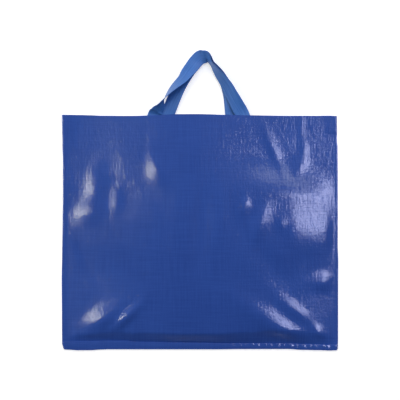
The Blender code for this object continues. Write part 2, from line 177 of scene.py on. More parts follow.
# The back strap's loop: the place of its top, where its legs begin on either side as
# seen from there, how far it is rounded up between, and how far the legs bow outwards.
# Keys lie at shares of a leg, from the rim up, and each has its roll.
LOOP_TOP_X = 0.0102
LOOP_RISE = 0.1067
LOOP_LEFT = Vector((-0.0162, -0.0088))
LOOP_RIGHT = Vector((0.0124, -0.0131))
LOOP_ROUND = Vector((0.0, 0.0028))
LEG_BOW_LEFT = 0.0050
LEG_BOW_RIGHT = 0.0085
LEFT_LEG_SHARES = (0.15, 0.31, 0.47, 0.62, 0.78, 0.90)
LEFT_LEG_ROLLS = (-10.0, -16.0, -21.0, -25.0, -24.0, -14.0)
LOOP_ROLLS = (-4.0, 10.0, 48.0, 68.0, 79.0)
RIGHT_LEG_SHARES = (0.92, 0.76, 0.58, 0.48, 0.39, 0.29, 0.16)
RIGHT_LEG_ROLLS = (71.0, 56.0, 44.0, 38.0, 33.0, 26.0, 14.0)

# The front strap's turn over the back strap: place across, place past the rim, height
# and roll. From the back strap's key number FIRST_LAID on, it lies along that strap.
# Then how far it slides out over the right leg, and its lift as a share of the right
# foot's height at the rim.
TURN_OVER = ((-0.0768, 0.0075, 0.0118, 37.0), (-0.0703, 0.0149, 0.0136, 57.0),
             (-0.0634, 0.0298, 0.0140, 93.0), (-0.0491, 0.0481, 0.0136, 117.0),
             (-0.0308, 0.0657, 0.0136, 137.0))
FIRST_LAID = 7
SLIDE_OUT = ((0.0020, 0.0), (0.0036, 0.0), (0.0050, 0.0), (0.0076, 0.0), (0.0118, 0.12))

# What lies free: the straps over the sheet and the floor, the front strap's feet under
# the panel, and the two straps where they lie on each other
GAP = 0.0003
FLOOR_GAP = 0.0006
FOOT_SLACK = 0.0004
STACK_SPACE = 0.0018

# Where the sheet next to a strap is measured: places across it, as shares of its half
# width, and how far before and behind. Past the rim the back strap comes down to the
# floor over RIM_RUN.
ACROSS_SHARES = (-1.0, -0.5, 0.0, 0.5, 1.0)
FOOT_REACH = 0.008
RIM_RUN = STRAP_WIDTH / 3.0

# Small waves of the bottom seam: how high they are along the bag, their length, how
# their places stray, how they lean across the seam and how their height varies
PUCKERS = ((-0.2485, 0.00003), (0.030, 0.00004), (0.080, 0.00062), (0.2485, 0.00075))
PUCKER_LENGTH = 0.0115
PUCKER_STRAY = 0.2
PUCKER_STRAY_PACE = 2.9
PUCKER_LEAN = 0.25
PUCKER_SWELL = 0.25
PUCKER_SWELL_PACE = 2.3

# The slack of the back panel on the floor: its most, its share between the waves, how
# it fades towards the seams, and its waves, each a length, a heading and a shift
BACK_LIFT = 0.0009
BACK_SHARE = 0.5
BACK_FADE = 0.030
BACK_WAVES = ((0.083, 12.0, 0.1), (0.061, 74.0, 0.6), (0.047, 128.0, 0.3), (0.113, 155.0, 0.8))

# Where the bag's inside ends at both sides
INSIDE_EDGE = BAG_WIDTH / 2.0 - LEFT_SEAM - SEAM_WELD

# The bottom seam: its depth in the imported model, the rounding of its upper edge and how
# far it bulges between its edges. Then the rows of points in it and in the groove above
# it, as shares of each.
SEAM_NOMINAL = 0.0125
SEAM_ROUND = 0.0004
SEAM_BULGE = 0.0005
SEAM_SHARES = (0.0, 0.05, 0.15, 0.33, 0.5, 0.67, 0.83, 0.91, 0.96, 0.985)
SEAM_GROOVE = 0.0024
GROOVE_SHARES = (0.0, 0.12, 0.25, 0.42, 0.65, 1.0)

# Fineness of the meshes and of the measuring, and the steepest slope that counts in it
FINE_STEP = 0.0024
MIDDLE_STEP = 0.0055
SECTION_STEPS = 13
STRAP_STEPS = 16
SLOPE_STEP = 0.0005
STEEPEST = 2.0
FOOT_SAMPLES = 10

# The woven tapes: their width and relief, and the length over which their tint changes
TAPE_WIDTH = 0.0025
TAPE_RELIEF = 0.00005
TINT_LENGTH = 0.060
YARN_FLATNESS = 0.3

# Unevenness of the sheet: slack tapes, crinkles of the film, and streaks where tapes lie
# higher, up the bag and across it. Each has a size and a relief.
SLACK_SIZE = 0.0030
SLACK_RELIEF = 0.00008
CRINKLE_SIZE = 0.014
CRINKLE_RELIEF = 0.00015
STREAK_WIDTH = 0.0035
STREAK_LENGTH = 0.014
WARP_STREAKS = 0.00024
WEFT_STREAKS = 0.00008
SHADE_SIZE = 0.16

# The webbing's ribs and weft, drawn coarser than the real yarns so that they show
RIB_WIDTH = 0.0014
WEFT_STEP = 0.0019
YARN_RELIEF = 0.00012

# Folds sharper than this keep a hard edge
CREASE_ANGLE = 35.0

# Tones as they look in plain light, each with its place on the scale of the tint
FILM_TONES = ((0.35, "#224697"), (0.65, "#2C52A6"))
YARN_TONES = ((0.3, "#3565B0"), (0.7, "#467BC6"))

# How white the floor is, and how it glows where it is seen
FLOOR_WHITE = 0.82
FLOOR_GLOW = 0.50

# The studio: its floor, its even light from the handles' side and from the left, the
# height of the white backdrop, and its softboxes, each a place, the size of its face,
# the face's brightness and its tint
FLOOR_SIZE = 12.0
WORLD_LOW = 0.06
WORLD_HIGH = 0.80
WORLD_FADE = 2.0
SIDE_LIGHT = 1.2
SIDE_FOOT = 0.10
SIDE_TOP = 0.45
BACKDROP_FOOT = 0.05
BACKDROP_TOP = 0.20
SOFTBOXES = (
    ("right_softbox", (1.30, 0.20, 2.2), (0.50, 0.66), 12.5, "#D6D9FF"),
    ("left_softbox", (-1.43, 0.14, 2.2), (0.29, 0.36), 21.0, "#FFFDE6"),
    ("top_softbox", (0.55, 1.10, 1.25), (1.40, 0.90), 3.15, "#FFFFFF"),
    ("side_softbox", (-1.90, 0.30, 1.50), (1.10, 1.10), 4.2, "#FFFFFF"),
)

# Settings of the nodes that do sums
ADD = {"operation": "ADD"}
MULTIPLY = {"operation": "MULTIPLY"}
MAXIMUM = {"operation": "MAXIMUM"}

# The photograph's frame: what it spans on the floor, and where its middle lies
VIEW_WIDTH = 0.720
VIEW_MIDDLE = (0.0, -0.0011)
CAMERA_HEIGHT = 2.4
SENSOR = 36.0


def ease(value):
    """Runs smoothly from 0 to 1 while the value does."""
    t = np.clip(value, 0.0, 1.0)
    return t * t * (3.0 - 2.0 * t)


def mix(a, b, share):
    """Runs from a to b while the share runs from 0 to 1."""
    return a + (b - a) * share


def along(keys, place):
    """Value at a place between keys (place, value), eased from each key to the next."""
    places = np.array([key[0] for key in keys])
    values = np.array([key[1] for key in keys])
    place = np.clip(place, places[0], places[-1])
    step = np.clip(np.searchsorted(places, place, side="right") - 1, 0, len(places) - 2)
    share = ease((place - places[step]) / (places[step + 1] - places[step]))
    return mix(values[step], values[step + 1], share)


def half_inside(x):
    """Distance from the bag's middle to the side seam on the same side as x."""
    return BAG_WIDTH / 2.0 - np.where(np.asarray(x) < 0.0, LEFT_SEAM, RIGHT_SEAM)


def seam_depth(x):
    """How far up the bag the bottom seam reaches."""
    return along(SEAM_DEPTHS, x)


def crown(x, y):
    """Height of the panel over its seams along its middle line."""
    start = seam_depth(x)
    t = np.clip((y - start) / (BAG_HEIGHT - start), 0.0, 1.0)
    bottom = CROWN_BOTTOM * (1.0 - t) * (1.0 - 2.0 * t)
    middle = CROWN_MIDDLE * 4.0 * t * (1.0 - t)
    mouth = CROWN_MOUTH * t * (2.0 * t - 1.0)
    return bottom + middle + mouth


def fullness(x, y):
    """Share of the crown that the panel keeps towards the side seams."""
    reach = (y - seam_depth(x)) / (SIDE_POWER_REACH * BAG_HEIGHT)
    top_power = np.where(x < 0.0, LEFT_POWER_TOP, RIGHT_POWER_TOP)
    power = mix(SIDE_POWER_BOTTOM, top_power, ease(reach))
    side = np.minimum(1.0, np.abs(x) / half_inside(x))
    bell = (1.0 + np.cos(math.pi * side)) / 2.0
    bell_share = np.where(x < 0.0, along(LEFT_BELL, y), along(RIGHT_BELL, y))
    flat_seam = mix(1.0 - side ** power, bell, bell_share)
    foot = math.hypot(1.0, TENT_ROUND)
    slope = (foot - np.sqrt(side ** 2 + TENT_ROUND ** 2)) / (foot - TENT_ROUND)
    tent = slope * (1.0 - TENT_SAG * side)
    even = along(RIGHT_TENT, y + TENT_LEAN * side ** TENT_LEAN_POWER)
    return np.where(x < 0.0, flat_seam, mix(flat_seam, tent, even))


def shoulder(x, y):
    """The steep rise of the panel out of the bottom seam."""
    t = np.clip((y - seam_depth(x)) / along(SHOULDER_WIDTHS, x), 0.0, 1.0)
    return 1.0 - (1.0 - t) ** SHOULDER_POWER


def hem_share(y):
    """0 on the single sheet and 1 where the hem doubles it."""
    return ease((y - (BAG_HEIGHT - HEM_DEPTH)) / HEM_STEP + 1.0)


def fold_height(x, y):
    """The soft folds, which die out at the seams."""
    total = 0.0
    for share_x, share_y, length, width, heading, height in FOLDS:
        turn = math.radians(heading)
        from_x = x - share_x * FOLD_SPAN
        from_y = y - share_y * BAG_HEIGHT
        along_fold = from_x * math.cos(turn) + from_y * math.sin(turn)
        across = from_y * math.cos(turn) - from_x * math.sin(turn)
        total = total + height * np.exp(-(along_fold / length) ** 2 - (across / width) ** 2)
    return total * ease(FOLD_FADE * fullness(x, y)) * ease(shoulder(x, y))


def seam_edge(x, y):
    """Height of the bottom seam's folded plies, rounded where they end at the panel."""
    depth = seam_depth(x)
    inside = np.clip((depth - y) / SEAM_ROUND, 0.0, 1.0)
    rounding = SEAM_ROUND * (1.0 - np.sqrt(inside * (2.0 - inside)))
    place = x / PUCKER_LENGTH
    moved = place + PUCKER_STRAY * np.sin(PUCKER_STRAY_PACE * place) + PUCKER_LEAN * y / depth
    swell = 1.0 - PUCKER_SWELL + PUCKER_SWELL * np.sin(PUCKER_SWELL_PACE * place)
    pucker = along(PUCKERS, x) * np.sin(2.0 * math.pi * moved) * swell
    bulge = SEAM_BULGE * (1.0 - (2.0 * y / depth - 1.0) ** 2)
    return SEAM_LAYERS * SHEET - rounding + pucker + bulge


def front_height(x, y):
    """Outer face of the front panel over the floor."""
    near_seam = ease((np.abs(x) - half_inside(x)) / HEM_SHOWS + 1.0)
    panel = (2.0 + 2.0 * hem_share(y) * near_seam) * SHEET
    panel = panel + crown(x, y) * fullness(x, y) * shoulder(x, y) + fold_height(x, y)
    return np.where(y <= seam_depth(x), seam_edge(x, y), panel)


def ceiling_height(x, y):
    """Inner face of the front panel, one sheet in, or two where it is hemmed."""
    y = np.minimum(y, BAG_HEIGHT)
    height = front_height(x, y)
    rise_x = front_height(x + SLOPE_STEP, y) - front_height(x - SLOPE_STEP, y)
    slope_x = rise_x / (2.0 * SLOPE_STEP)
    slope_y = np.minimum((height - front_height(x, y - SLOPE_STEP)) / SLOPE_STEP, STEEPEST)
    return height - SHEET * (1.0 + hem_share(y)) * np.sqrt(1.0 + slope_x ** 2 + slope_y ** 2)


def inner_floor(y):
    """Inner face of the back panel."""
    return SHEET * (1.0 + hem_share(y))


def back_lift(x, y):
    """How far the back panel, lying slack on the floor, stays off it between its seams."""
    inside = half_inside(x) - np.abs(x)
    above_seam = y - BACK_FADE
    below_rim = BAG_HEIGHT - y
    fade = ease(inside / BACK_FADE) * ease(above_seam / BACK_FADE) * ease(below_rim / BACK_FADE)
    waves = 0.0
    for length, heading, shift in BACK_WAVES:
        turn = math.radians(heading)
        place = (x * math.cos(turn) + y * math.sin(turn)) / length + shift
        waves = waves + np.sin(2.0 * math.pi * place)
    return BACK_LIFT * fade * np.clip(waves / len(BACK_WAVES) + BACK_SHARE, 0.0, 1.0)


def spread(start, end, step):
    """Even places from start to end, about a step apart."""
    count = max(1, round((end - start) / step))
    return list(np.linspace(start, end, count + 1))


def stray(x, y):
    """Moves points near the bag's edges to where the real edges stray."""
    left = along(LEFT_EDGE, y) * ease(1.0 - (x + BAG_WIDTH / 2.0) / EDGE_REACH)
    right = along(RIGHT_EDGE, y) * ease(1.0 - (BAG_WIDTH / 2.0 - x) / EDGE_REACH)
    rim = along(RIM_EDGE, x) * ease(1.0 - (BAG_HEIGHT - y) / EDGE_REACH)
    bottom = along(BOTTOM_EDGE, x) * ease(1.0 - y / EDGE_REACH)
    return x + left - right, y + rim + bottom


def zipped(row_a, places_a, row_b, places_b):
    """Triangles between two rows of points that run side by side."""
    faces = []
    a = 0
    b = 0
    last_a = len(row_a) - 1
    last_b = len(row_b) - 1
    while a < last_a or b < last_b:
        if b == last_b or (a < last_a and places_a[a + 1] <= places_b[b + 1]):
            faces.append((row_a[a], row_a[a + 1], row_b[b]))
            a += 1
        else:
            faces.append((row_a[a], row_b[b + 1], row_b[b]))
            b += 1
    return faces


def placed(name, data):
    """A new object of the scene that holds the given data."""
    thing = bpy.data.objects.new(name, data)
    bpy.context.scene.collection.objects.link(thing)
    return thing


class Shell:
    """Points and faces of one mesh, with the place of each point in its flat cloth."""

    def __init__(self):
        self.points = []
        self.cloth = []
        self.faces = []

    def grid(self, x, y, z, cloth_x, cloth_y):
        """Adds a grid of points and gives back their numbers."""
        first = len(self.points)
        self.points += list(zip(x.ravel().tolist(), y.ravel().tolist(), z.ravel().tolist()))
        self.cloth += list(zip(cloth_x.ravel().tolist(), cloth_y.ravel().tolist()))
        return np.arange(first, len(self.points)).reshape(x.shape)

    def cover(self, numbers, flip=False):
        """Adds the faces of a grid, facing up for a grid of columns by rows."""
        a = numbers[:-1, :-1]
        b = numbers[1:, :-1]
        c = numbers[1:, 1:]
        d = numbers[:-1, 1:]
        corners = (d, c, b, a) if flip else (a, b, c, d)
        self.faces += [tuple(face) for face in np.stack(corners, -1).reshape(-1, 4).tolist()]

    def strip(self, upper, lower):
        """Adds a wall between two rows of as many points."""
        for k in range(len(upper) - 1):
            self.faces.append((lower[k], lower[k + 1], upper[k + 1], upper[k]))

    def build(self, name, material):
        """Makes the piece, with the flat cloth's places as its UV."""
        mesh = bpy.data.meshes.new(name)
        mesh.from_pydata(self.points, [], [tuple(int(n) for n in face) for face in self.faces])
        layer = mesh.uv_layers.new(name="cloth")
        corners = np.zeros(len(mesh.loops), dtype=np.int32)
        mesh.loops.foreach_get("vertex_index", corners)
        layer.data.foreach_set("uv", np.array(self.cloth, dtype=np.float32)[corners].ravel())
        mesh.materials.append(material)
        mesh.validate()
        return placed(name, mesh)


def bag_columns(step):
    """Places across the bag: its side folds, its seams and the panel between them."""
    outer = BAG_WIDTH / 2.0
    side = [outer, outer - SIDE_FOLD / 2.0, outer - SIDE_FOLD]
    side += spread(outer - 2.0 * SIDE_FOLD, INSIDE_EDGE, -step)
    middle = spread(-INSIDE_EDGE, INSIDE_EDGE, step)[1:-1]
    return np.array([-place for place in side] + middle + side[::-1])


def bag_rows(step):
    """Places up the bag, for a bottom seam of the nominal depth."""
    seam = [SEAM_NOMINAL * share for share in SEAM_SHARES]
    groove = [SEAM_NOMINAL + SEAM_GROOVE * share for share in GROOVE_SHARES]
    return np.array(seam + groove + spread(groove[-1] + step / 2.0, BAG_HEIGHT, step))


def on_seam(x, row):
    """The height up the bag of a row, moved with the bottom seam's real depth there."""
    depth = seam_depth(x)
    below = row * depth / SEAM_NOMINAL
    above = depth + (row - SEAM_NOMINAL) * (BAG_HEIGHT - depth) / (BAG_HEIGHT - SEAM_NOMINAL)
    return np.where(row <= SEAM_NOMINAL, below, above)


def make_bag(material):
    """The folded and seamed sheet: its outer faces, its inside and its open mouth."""
    shell = Shell()
    columns = bag_columns(FINE_STEP)
    rows = bag_rows(FINE_STEP)
    x, row = np.meshgrid(columns, rows, indexing="ij")
    y = on_seam(x, row)
    out_x, out_y = stray(x, y)
    edge_round = ease((BAG_WIDTH / 2.0 - np.abs(x)) / SIDE_FOLD)
    front_z = front_height(x, y) * mix(FOLD_FRONT, 1.0, edge_round)
    top = shell.grid(out_x, out_y, front_z, x, y)
    back_z = back_lift(x, y) + mix(FOLD_BACK * SHEET, 0.0, edge_round)
    bottom = shell.grid(out_x, out_y, back_z, x, y - BAG_HEIGHT)
    shell.cover(top)
    shell.cover(bottom, flip=True)
    shell.strip(top[:, 0], bottom[:, 0])
    shell.strip(bottom[0, :], top[0, :])
    shell.strip(top[-1, :], bottom[-1, :])

    inner_columns = np.array(spread(-INSIDE_EDGE, INSIDE_EDGE, MIDDLE_STEP))
    inner_rows = np.array(spread(SEAM_NOMINAL + SEAM_WELD, BAG_HEIGHT, MIDDLE_STEP))
    in_x, in_row = np.meshgrid(inner_columns, inner_rows, indexing="ij")
    in_y = on_seam(in_x, in_row)
    inner_x, inner_y = stray(in_x, in_y)
    lift = back_lift(in_x, in_y)
    ceiling_z = np.maximum(ceiling_height(in_x, in_y), lift + LEAST_INSIDE * SHEET)
    ceiling = shell.grid(inner_x, inner_y, ceiling_z, in_x, in_y)
    floor_z = lift + inner_floor(in_y)
    floor = shell.grid(inner_x, inner_y, floor_z, in_x, in_y - BAG_HEIGHT)
    shell.cover(ceiling, flip=True)
    shell.cover(floor)
    shell.strip(floor[:, 0], ceiling[:, 0])
    shell.strip(ceiling[0, :], floor[0, :])
    shell.strip(floor[-1, :], ceiling[-1, :])

    first = int(np.argmin(np.abs(columns + INSIDE_EDGE)))
    last = int(np.argmin(np.abs(columns - INSIDE_EDGE)))
    rim = columns[first:last + 1]
    shell.faces += zipped(list(top[first:last + 1, -1]), rim, list(ceiling[:, -1]), inner_columns)
    lips = zipped(list(bottom[first:last + 1, -1]), rim, list(floor[:, -1]), inner_columns)
    shell.faces += [tuple(reversed(face)) for face in lips]
    shell.strip(bottom[:first, -1], top[:first, -1])
    shell.strip(bottom[last + 1:, -1], top[last + 1:, -1])
    shell.faces.append((
        bottom[first - 1, -1], top[first - 1, -1], top[first, -1],
        ceiling[0, -1], floor[0, -1], bottom[first, -1],
    ))
    shell.faces.append((
        top[last + 1, -1], bottom[last + 1, -1], bottom[last, -1],
        floor[-1, -1], ceiling[-1, -1], top[last, -1],
    ))
    return shell.build("woven_bag", material)


def steady_slope(before, here, after):
    """Slope through a key that never overshoots it."""
    rise_in = here - before
    rise_out = after - here
    if rise_in * rise_out <= 0.0:
        return 0.0
    steepest = 3.0 * min(abs(rise_in), abs(rise_out))
    return max(-steepest, min(steepest, (rise_in + rise_out) / 2.0))


def smooth_path(keys, steps):
    """A smooth curve through the keys, each a Vector of any length."""
    last = len(keys) - 1
    slopes = []
    for i, key in enumerate(keys):
        before = keys[max(i - 1, 0)]
        after = keys[min(i + 1, last)]
        slopes.append(Vector([steady_slope(*three) for three in zip(before, key, after)]))
    points = []
    for i in range(last):
        for k in range(steps):
            t = k / steps
            points.append(
                keys[i] * (2 * t ** 3 - 3 * t ** 2 + 1)
                + slopes[i] * (t ** 3 - 2 * t ** 2 + t)
                + keys[i + 1] * (3 * t ** 2 - 2 * t ** 3)
                + slopes[i + 1] * (t ** 3 - t ** 2)
            )
    points.append(keys[last].copy())
    return points


def outward(keys, i):
    """Level unit vector square to a path of keys, towards the outside of the loop."""
    before = keys[max(i - 1, 0)]
    after = keys[min(i + 1, len(keys) - 1)]
    way = Vector((after[0] - before[0], after[1] - before[1])).normalized()
    return Vector((-way.y, way.x))


def half_rise(roll):
    """Height from a rolled strap's middle to its lowest point."""
    turn = math.radians(roll)
    across = STRAP_WIDTH / 2.0 * abs(math.sin(turn))
    return across + STRAP_THICKNESS / 2.0 * abs(math.cos(turn))


def leg_points(foot, neck, bow, shares):
    """Points of a leg from its foot at the rim to the loop's neck, bowed outwards."""
    run = neck - foot
    side = Vector((-run.y, run.x)).normalized()
    return [foot + run * s + side * bow * math.sin(math.pi * s) for s in shares]


def foot_heights(foot):
    """Heights of the foot's middle at the rim and at its inner end, under the front panel."""
    half_w = STRAP_WIDTH / 2.0
    end_x = foot[0][0]
    rim_x = foot[-1][0]
    at_rim = float(ceiling_height(rim_x, BAG_HEIGHT))
    at_end = float(ceiling_height(end_x, BAG_HEIGHT - FOOT_DEPTH))
    drop = 0.0
    for k in range(FOOT_SAMPLES + 1):
        share = k / FOOT_SAMPLES
        x = mix(end_x, rim_x, share)
        y = BAG_HEIGHT - FOOT_DEPTH * (1.0 - share)
        line = at_end + (at_rim - at_end) * share
        lowest = min(float(ceiling_height(x + half_w * side, y)) for side in ACROSS_SHARES)
        drop = max(drop, line - lowest)
    below = drop + GAP + FOOT_SLACK + STRAP_THICKNESS / 2.0
    return at_rim - below, at_end - below


def slack_under(point):
    """The most that the back panel lifts near a point of the strap that lies on it."""
    half_w = STRAP_WIDTH / 2.0
    lifts = []
    for side in ACROSS_SHARES:
        for step in (-FOOT_REACH, 0.0, FOOT_REACH):
            lifts.append(float(back_lift(point.x + half_w * side, point.y + step)))
    return max(lifts)


def back_strap_keys():
    """Keys (x, y, z, roll) of the strap that is fixed to the back panel."""
    rim = BAG_HEIGHT
    top = Vector((LOOP_TOP_X, rim + LOOP_RISE))
    neck_left = top + LOOP_LEFT
    neck_right = top + LOOP_RIGHT

    plan = [Vector((foot[0], y)) for foot, y in zip(BACK_LEFT_FOOT, FOOT_YS)]
    plan += leg_points(plan[-1], neck_left, LEG_BOW_LEFT, LEFT_LEG_SHARES)
    round_left = top + LOOP_LEFT / 2.0 + LOOP_ROUND
    round_right = top + LOOP_RIGHT / 2.0 + LOOP_ROUND
    plan += [neck_left, round_left, top, round_right, neck_right]
    right_foot = [Vector((foot[0], y)) for foot, y in zip(BACK_RIGHT_FOOT, FOOT_YS)]
    plan += leg_points(right_foot[-1], neck_right, -LEG_BOW_RIGHT, RIGHT_LEG_SHARES)
    plan += reversed(right_foot)
    rolls = [foot[1] for foot in BACK_LEFT_FOOT]
    rolls += LEFT_LEG_ROLLS + LOOP_ROLLS + RIGHT_LEG_ROLLS
    rolls += [foot[1] for foot in reversed(BACK_RIGHT_FOOT)]

    keys = []
    for point, roll in zip(plan, rolls):
        inside = float(ease((rim + RIM_RUN - point.y) / RIM_RUN))
        rest = mix(FLOOR_GAP, float(inner_floor(rim)) + GAP, inside) + slack_under(point)
        keys.append(Vector((point.x, point.y, rest + half_rise(roll), roll)))
    return keys


def laid_over(under, out, slide, lift):
    """Key of the front strap where it lies along the back strap, slid outwards on it."""
    apart = STRAP_THICKNESS + STACK_SPACE
    turn = math.radians(under[3])
    place = Vector((under[0], under[1])) + out * (slide - math.sin(turn) * apart)
    height = under[2] + slide * math.tan(turn) + math.cos(turn) * apart + lift
    return Vector((place.x, place.y, height, under[3] + 180.0))


def under_panel(foot):
    """Keys of a foot of the front strap, from its inner end to the rim, under the panel."""
    at_rim, at_end = foot_heights(foot)
    keys = []
    for (x, roll), y, z in zip(foot, FOOT_YS, (at_end, (at_end + at_rim) / 2.0, at_rim)):
        drop = half_rise(roll) - STRAP_THICKNESS / 2.0
        keys.append(Vector((x, y, z - drop, roll)))
    return keys


def front_strap_keys(back):
    """Keys (x, y, z, roll) of the strap that is fixed to the front panel."""
    keys = under_panel(FRONT_LEFT_FOOT)
    right_foot = under_panel(FRONT_RIGHT_FOOT)
    right_rim = right_foot[-1].z
    keys += [Vector((x, BAG_HEIGHT + past_rim, z, roll)) for x, past_rim, z, roll in TURN_OVER]

    first_slid = len(back) - len(right_foot) - len(SLIDE_OUT)
    for index in range(FIRST_LAID, first_slid):
        keys.append(laid_over(back[index], outward(back, index), 0.0, 0.0))
    for index, (slide, lift) in enumerate(SLIDE_OUT, first_slid):
        keys.append(laid_over(back[index], outward(back, index), slide, lift * right_rim))
    return keys + right_foot[::-1]


def webbing_outline():
    """Outline points of the section: places across and through the webbing."""
    half_w = STRAP_WIDTH / 2.0
    half_t = STRAP_THICKNESS / 2.0
    upper = []
    for place in np.linspace(-1.0, 1.0, SECTION_STEPS):
        across = math.sin(place * math.pi / 2.0)
        thick = (1.0 - abs(across) ** SELVEDGE_POWER) ** (1.0 / SELVEDGE_POWER)
        upper.append((half_w * across, half_t * thick))
    return upper + [(across, -thick) for across, thick in reversed(upper[1:-1])]


def make_webbing(name, keys, material):
    """One handle, the webbing's section carried along its path and rolled, and its length."""
    points = smooth_path(keys, STRAP_STEPS)
    outline = webbing_outline()
    length = 0.0
    rings = []
    lengths = []
    for i, key in enumerate(points):
        before = points[max(i - 1, 0)].xyz
        after = points[min(i + 1, len(points) - 1)].xyz
        way = (after - before).normalized()
        side = Vector((-way.y, way.x, 0.0)).normalized()
        up = way.cross(side)
        roll = math.radians(key[3])
        across = side * math.cos(roll) + up * math.sin(roll)
        through = up * math.cos(roll) - side * math.sin(roll)
        length += (key.xyz - before).length
        lengths.append(length)
        rings.append([key.xyz + across * a + through * t for a, t in outline])

    girth = [0.0]
    for k in range(len(outline)):
        a = Vector(outline[k])
        b = Vector(outline[(k + 1) % len(outline)])
        girth.append(girth[-1] + (b - a).length)

    mesh = bpy.data.meshes.new(name)
    count = len(outline)
    faces = []
    cloth = []
    for i in range(len(rings) - 1):
        for k in range(count):
            n = (k + 1) % count
            faces.append((i * count + k, (i + 1) * count + k, (i + 1) * count + n, i * count + n))
            cloth += [(girth[k], lengths[i]), (girth[k], lengths[i + 1]),
                      (girth[k + 1], lengths[i + 1]), (girth[k + 1], lengths[i])]
    last = (len(rings) - 1) * count
    faces.append(tuple(range(count)))
    cloth += [outline[k] for k in range(count)]
    faces.append(tuple(last + k for k in reversed(range(count))))
    cloth += [outline[k] for k in reversed(range(count))]
    mesh.from_pydata([tuple(p) for ring in rings for p in ring], [], faces)
    layer = mesh.uv_layers.new(name="cloth")
    layer.data.foreach_set("uv", np.array(cloth, dtype=np.float32).ravel())
    mesh.materials.append(material)
    return placed(name, mesh), length


def linear(colour):
    """An sRGB hex colour as linear values."""
    channels = [int(colour[k:k + 2], 16) / 255.0 for k in (1, 3, 5)]
    parts = [c / 12.92 if c <= 0.04045 else ((c + 0.055) / 1.055) ** 2.4 for c in channels]
    return (parts[0], parts[1], parts[2], 1.0)


def join(tree, node, settings=None, links=None):
    """Gives a node its settings and links, each named or numbered by its input.

    A node that is linked stands for its first output.
    """
    for name, value in (settings or {}).items():
        if isinstance(name, str) and hasattr(node, name):
            setattr(node, name, value)
        else:
            node.inputs[name].default_value = value
    for name, source in (links or {}).items():
        socket = source.outputs[0] if isinstance(source, bpy.types.Node) else source
        tree.links.new(socket, node.inputs[name])
    return node


def add(tree, kind, settings=None, links=None):
    """Adds a node with its settings and links."""
    return join(tree, tree.nodes.new(kind), settings, links)


def new_material(name):
    """A material with its nodes and its shader, and the cloth's place as a vector."""
    material = bpy.data.materials.new(name)
    material.use_nodes = True
    tree = material.node_tree
    shader = tree.nodes["Principled BSDF"]
    cloth = add(tree, "ShaderNodeUVMap", {"uv_map": "cloth"})
    return material, tree, shader, cloth


def plain_weave(tree, cloth, across_size, up_size):
    """Height, from 0 to 1, of a plain weave: each yarn rises over one and dips under the next."""
    apart = add(tree, "ShaderNodeSeparateXYZ", links={0: cloth}).outputs
    waves = []
    bulges = []
    flats = []
    for place, size in ((apart["X"], across_size), (apart["Y"], up_size)):
        turn = add(tree, "ShaderNodeMath", {"operation": "MULTIPLY", 1: math.pi / size}, {0: place})
        waves.append(add(tree, "ShaderNodeMath", {"operation": "SINE"}, {0: turn}))
        bulges.append(add(tree, "ShaderNodeMath", {"operation": "ABSOLUTE"}, {0: waves[-1]}))
        power = {"operation": "POWER", 1: YARN_FLATNESS}
        flats.append(add(tree, "ShaderNodeMath", power, {0: bulges[-1]}))
    weft = add(tree, "ShaderNodeMath", MULTIPLY, {0: bulges[0], 1: flats[1]})
    warp = add(tree, "ShaderNodeMath", MULTIPLY, {0: bulges[1], 1: flats[0]})
    both = add(tree, "ShaderNodeMath", MULTIPLY, {0: waves[0], 1: waves[1]})
    warp_shows = add(tree, "ShaderNodeMath", {"operation": "GREATER_THAN", 1: 0.0}, {0: both})
    return add(tree, "ShaderNodeMix", {"data_type": "FLOAT"}, {0: warp_shows, 2: weft, 3: warp})


def streaks(tree, cloth, width, length, detail=1.0):
    """Noise drawn out into streaks, with a width along X and a length along Y of the cloth."""
    scale = {"Scale": (1.0 / width, 1.0 / length, 1.0)}
    place = add(tree, "ShaderNodeMapping", scale, {"Vector": cloth})
    return add(tree, "ShaderNodeTexNoise", {"Scale": 1.0, "Detail": detail}, {"Vector": place})


def set_tones(ramp, tones):
    """Puts two tones at their places on a colour ramp."""
    for element, (place, colour) in zip(ramp.elements, tones):
        element.position = place
        element.color = linear(colour)


